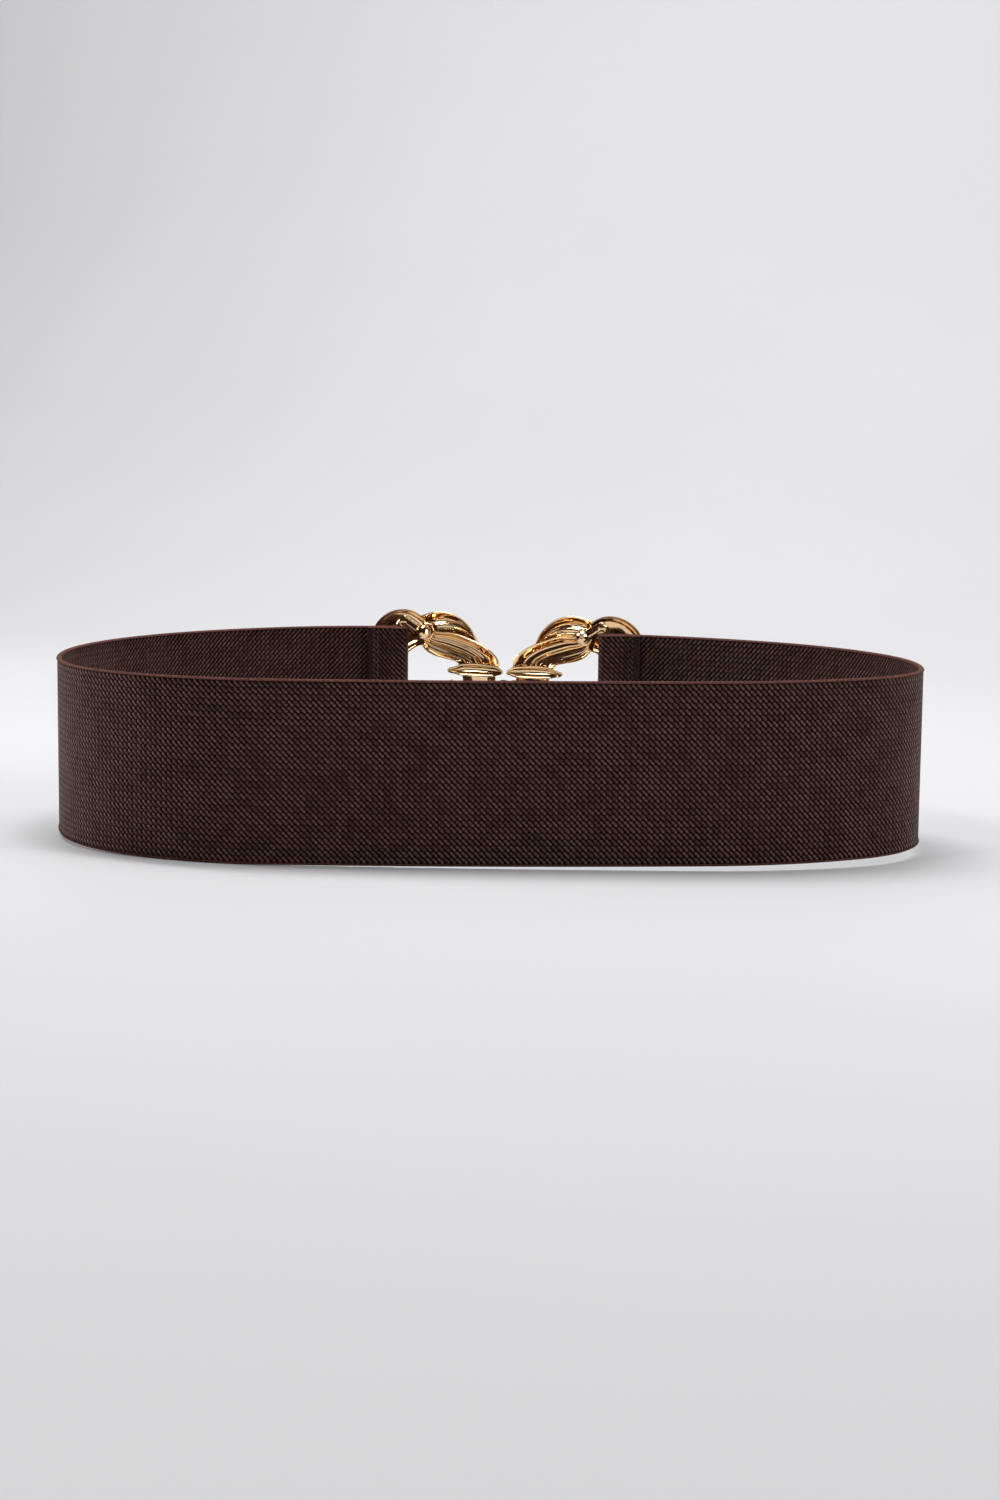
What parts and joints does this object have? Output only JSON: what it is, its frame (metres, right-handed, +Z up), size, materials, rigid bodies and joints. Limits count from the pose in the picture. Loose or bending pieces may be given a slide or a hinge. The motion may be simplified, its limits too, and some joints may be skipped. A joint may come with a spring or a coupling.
{
  "type": "elastic stretch belt",
  "caption": "Wide woven elastic waist belt, standing on its edge as a closed loop, with a two-part cast leaf buckle hooked at its middle.",
  "frame": {"origin": "centre of the belt's bounding box in plan, at the height of the surface that it stands on", "axes": "+X along the buckle and the loop's greatest width, +Y out through the buckle, +Z up"},
  "size_m": [0.299, 0.2186, 0.0731],
  "materials": {
    "webbing": "matte woven",
    "gold_metal": "polished"
  },
  "bodies": {
    "root": {"elastic_band": "webbing", "buckle_half_left": "gold_metal", "buckle_half_right": "gold_metal", "band_bar_left": "gold_metal", "band_bar_right": "gold_metal", "clasp_hook": "gold_metal"}
  },
  "joints": []
}
